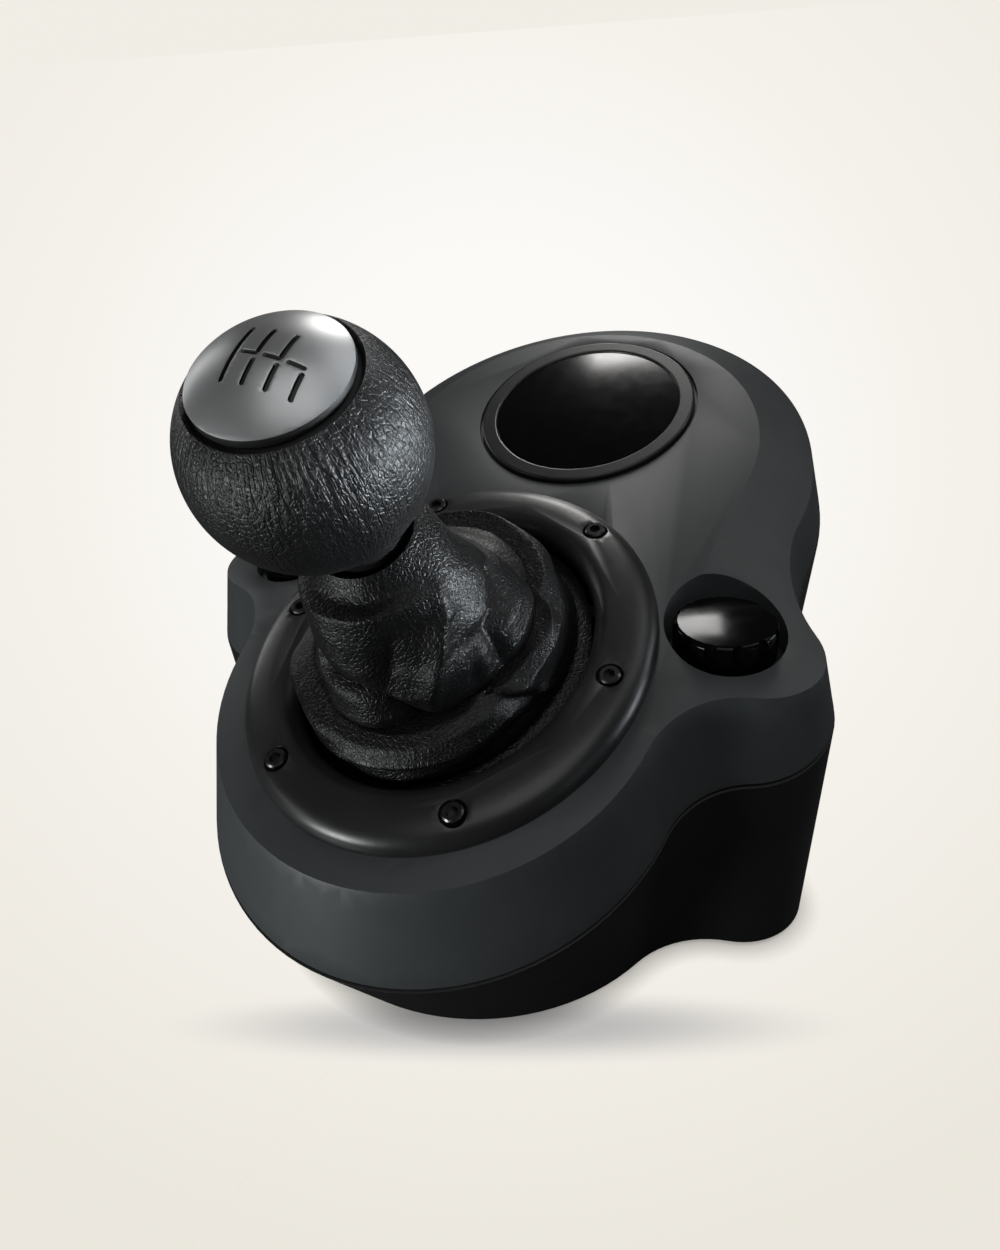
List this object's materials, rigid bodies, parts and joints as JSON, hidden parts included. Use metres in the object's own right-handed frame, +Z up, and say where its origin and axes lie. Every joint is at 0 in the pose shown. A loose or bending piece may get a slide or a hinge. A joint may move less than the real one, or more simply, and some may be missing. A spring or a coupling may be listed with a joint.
{
  "type": "sim racing gear shifter",
  "caption": "Desk-clamp gear shifter for driving games: sloped dark plastic housing, folded gaiter, round leather knob with shift pattern, side clamp knobs.",
  "frame": {"origin": "underside of the middle foot pad, straight under the middle of the gaiter opening", "axes": "+X to the driver's right, +Y away from the driver along the long way of the housing, +Z up"},
  "size_m": [0.1658, 0.1941, 0.1587],
  "materials": {
    "shell_upper": "satin, fine grain",
    "shell_lower": "satin, fine grain",
    "bezel": "satin",
    "black_screw": "black oxide",
    "inner_plastic": "plain",
    "gaiter": "soft grained",
    "badge": "gloss",
    "trim": "satin",
    "steel": "plain",
    "foot_rubber": "matt",
    "brass": "plain",
    "bush": "plain",
    "sensor": "plain",
    "board": "solder mask",
    "chip": "plain",
    "capacitor": "plain",
    "header": "plain",
    "cast_plastic": "cast",
    "knob_leather": "fine grained",
    "knob_cap": "satin with light engraved lines",
    "clamp_knob": "gloss",
    "jaw": "powder coat"
  },
  "bodies": {
    "root": {"upper_housing": "shell_upper", "lower_housing": "shell_lower", "bezel_ring": "bezel", "bezel_screws": "black_screw", "gaiter_frame": "inner_plastic", "gaiter_lower": "gaiter", "badge_dome": "badge", "badge_ring": "trim", "thrust_washer_left": "steel", "thrust_washer_right": "steel", "foot_pads": "foot_rubber", "mount_inserts": "brass", "case_screws": "black_screw", "leg_screws": "black_screw", "pivot_frame": "inner_plastic", "gate_plate": "steel", "gate_screws": "black_screw", "select_bushes": "bush", "select_sensor": "sensor", "torsion_springs": "steel", "circuit_board": "board", "board_screws": "steel", "controller_chip": "chip", "capacitors": "capacitor", "cable_header": "header", "cable_gland": "foot_rubber"},
    "cradle": {"select_cradle": "cast_plastic", "select_axles": "steel", "shift_bushes": "bush", "shift_sensor": "sensor", "gaiter_upper": "gaiter"},
    "yoke": {"shift_yoke": "cast_plastic", "shift_axles": "steel", "gaiter_collar": "trim"},
    "lever": {"lever_rod": "steel", "lever_clip": "steel", "push_spring": "steel", "knob_collar": "trim", "knob_core": "inner_plastic", "knob_cover": "knob_leather", "knob_cap": "knob_cap"},
    "clamp_knob_left": {"clamp_knob_left": "clamp_knob", "clamp_screw_left": "steel"},
    "clamp_jaw_left": {"clamp_jaw_left": "jaw", "clamp_nut_left": "brass", "jaw_pad_left": "foot_rubber"},
    "clamp_knob_right": {"clamp_knob_right": "clamp_knob", "clamp_screw_right": "steel"},
    "clamp_jaw_right": {"clamp_jaw_right": "jaw", "clamp_nut_right": "brass", "jaw_pad_right": "foot_rubber"}
  },
  "joints": [
    {"name": "select_tilt", "type": "hinge", "parent": "root", "child": "cradle", "pos_m": [0, 0.0086, 0.0537], "axis": [0, 0.8746, 0.4848], "range_deg": [-10, 10], "stiffness_Nm_per_rad": 1.5, "deforming": ["gaiter_lower"]},
    {"name": "shift_tilt", "type": "hinge", "parent": "cradle", "child": "yoke", "pos_m": [0, 0.0086, 0.0537], "axis": [1, 0, 0], "range_deg": [-14, 14], "deforming": ["gaiter_upper"]},
    {"name": "push_down", "type": "slide", "parent": "yoke", "child": "lever", "axis": [0, 0.4848, -0.8746], "range_m": [0, 0.005], "stiffness_N_per_m": 1500, "springref_m": -0.003, "deforming": ["push_spring"]},
    {"name": "clamp_turn_left", "type": "hinge", "parent": "root", "child": "clamp_knob_left", "pos_m": [-0.0573, 0.0235, 0.076], "axis": [0, 0, 1], "range_deg": [0, 3600]},
    {"name": "clamp_turn_right", "type": "hinge", "parent": "root", "child": "clamp_knob_right", "pos_m": [0.0573, 0.0235, 0.076], "axis": [0, 0, 1], "range_deg": [0, 3600]},
    {"name": "jaw_drop_left", "type": "slide", "parent": "root", "child": "clamp_jaw_left", "axis": [0, 0, -1], "range_m": [0, 0.03]},
    {"name": "jaw_drop_right", "type": "slide", "parent": "root", "child": "clamp_jaw_right", "axis": [0, 0, -1], "range_m": [0, 0.03]}
  ],
  "couplings": [
    {"joint": "clamp_turn_left", "follows": "jaw_drop_left", "rad_per_m": 2094.4},
    {"joint": "clamp_turn_right", "follows": "jaw_drop_right", "rad_per_m": 2094.4}
  ]
}
